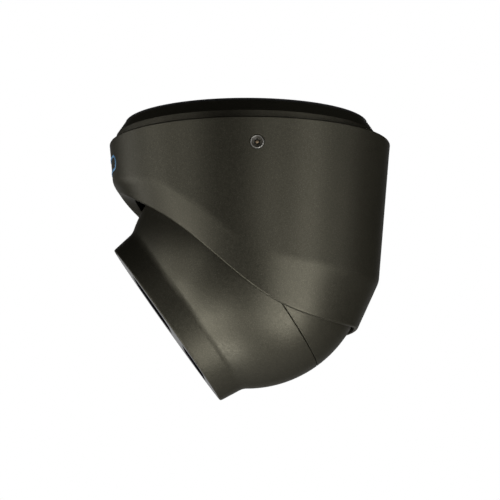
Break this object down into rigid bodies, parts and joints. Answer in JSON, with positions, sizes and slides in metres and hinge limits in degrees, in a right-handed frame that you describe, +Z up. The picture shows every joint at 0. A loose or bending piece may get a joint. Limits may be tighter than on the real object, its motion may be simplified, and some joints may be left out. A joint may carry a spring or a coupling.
{
  "type": "turret security camera",
  "caption": "Ceiling turret camera: a ball with a flat-faced lens nose tilts and rolls in a conical cover that pans on a round ceiling plate.",
  "frame": {"origin": "the pan axis at the ceiling face, on top of the gasket", "axes": "+Z up along the pan axis; the lens side faces -X; the tilt axis is parallel to Y"},
  "size_m": [0.1442, 0.1442, 0.1418],
  "materials": {
    "bronze_coat": "fine textured metallic powder coat",
    "black_plastic": "matte black",
    "gloss_panel": "piano black",
    "black_rubber": "matte",
    "white_washer": "natural acetal",
    "steel": "bright",
    "brass": "machined",
    "blue_mark": "printed blue",
    "clear_glass": "coated, clear",
    "lens_glass": "coated",
    "filter_glass": "infrared-cut coating",
    "dark_window": "infrared-pass black",
    "circuit_board": "solder mask",
    "lamp_plastic": "clear epoxy",
    "sensor_chip": "sensor cover glass",
    "thermal_pad": "soft grey",
    "aluminium": "milled"
  },
  "bodies": {
    "ceiling_plate": {"mount_plate": "bronze_coat", "ceiling_gasket": "black_rubber", "pan_washer": "white_washer", "retaining_ring": "steel", "retaining_screws": "steel"},
    "cover": {"cover_shell": "bronze_coat", "cover_ring": "black_plastic", "lock_screws": "steel", "front_badge": "blue_mark"},
    "yoke": {"yoke_strap": "steel", "tilt_pins": "steel", "tilt_washers": "white_washer", "roll_bush": "brass", "roll_nut": "brass", "cable_grommet": "black_rubber"},
    "ball": {"ball_front_shell": "bronze_coat", "ball_rear_shell": "bronze_coat", "shell_seal": "black_rubber", "shell_screws": "steel", "front_panel": "gloss_panel", "window_gaskets": "black_rubber", "lens_window": "clear_glass", "led_window": "dark_window", "inner_bezel": "black_plastic", "led_board": "circuit_board", "leds": "lamp_plastic", "light_baffle": "black_rubber", "lens_barrel": "black_plastic", "front_lens_element": "lens_glass", "rear_lens_element": "lens_glass", "lens_base": "black_plastic", "lens_bracket": "steel", "zoom_motor": "steel", "focus_motor": "steel", "sensor_board": "circuit_board", "image_sensor": "sensor_chip", "main_board": "circuit_board", "board_standoffs": "brass", "thermal_pad": "thermal_pad", "heat_spreader": "aluminium"},
    "zoom_ring": {"zoom_ring": "black_plastic"},
    "focus_ring": {"focus_ring": "black_plastic"},
    "zoom_pinion": {"zoom_pinion": "brass"},
    "focus_pinion": {"focus_pinion": "brass"},
    "ir_filter": {"ir_filter_carrier": "black_plastic", "ir_filter_glasses": "filter_glass"}
  },
  "joints": [
    {"name": "pan", "type": "hinge", "parent": "ceiling_plate", "child": "cover", "pos_m": [0, 0, 0], "axis": [0, 0, 1], "range_deg": [-175, 175]},
    {"name": "tilt", "type": "hinge", "parent": "cover", "child": "yoke", "pos_m": [-0.0015, 0, -0.0749], "axis": [0, -1, 0], "range_deg": [-20, 54.4]},
    {"name": "roll", "type": "hinge", "parent": "yoke", "child": "ball", "pos_m": [-0.0015, 0, -0.0749], "axis": [-0.8131, 0, -0.5821], "range_deg": [-175, 175]},
    {"name": "zoom", "type": "hinge", "parent": "ball", "child": "zoom_ring", "pos_m": [-0.00895, 0, -0.06449], "axis": [-0.8131, 0, -0.5821], "range_deg": [0, 90]},
    {"name": "focus", "type": "hinge", "parent": "ball", "child": "focus_ring", "pos_m": [-0.00895, 0, -0.06449], "axis": [-0.8131, 0, -0.5821], "range_deg": [0, 90]},
    {"name": "zoom_drive", "type": "hinge", "parent": "ball", "child": "zoom_pinion", "pos_m": [-0.00895, 0.017, -0.06449], "axis": [-0.8131, 0, -0.5821], "range_deg": [-420, 0]},
    {"name": "focus_drive", "type": "hinge", "parent": "ball", "child": "focus_pinion", "pos_m": [-0.00895, -0.017, -0.06449], "axis": [-0.8131, 0, -0.5821], "range_deg": [-420, 0]},
    {"name": "ir_filter_slide", "type": "slide", "parent": "ball", "child": "ir_filter", "axis": [-0.5821, 0, 0.8131], "range_m": [0, 0.0065]}
  ],
  "couplings": [
    {"joint": "zoom_drive", "follows": "zoom", "ratio": -4.6667},
    {"joint": "focus_drive", "follows": "focus", "ratio": -4.6667}
  ]
}
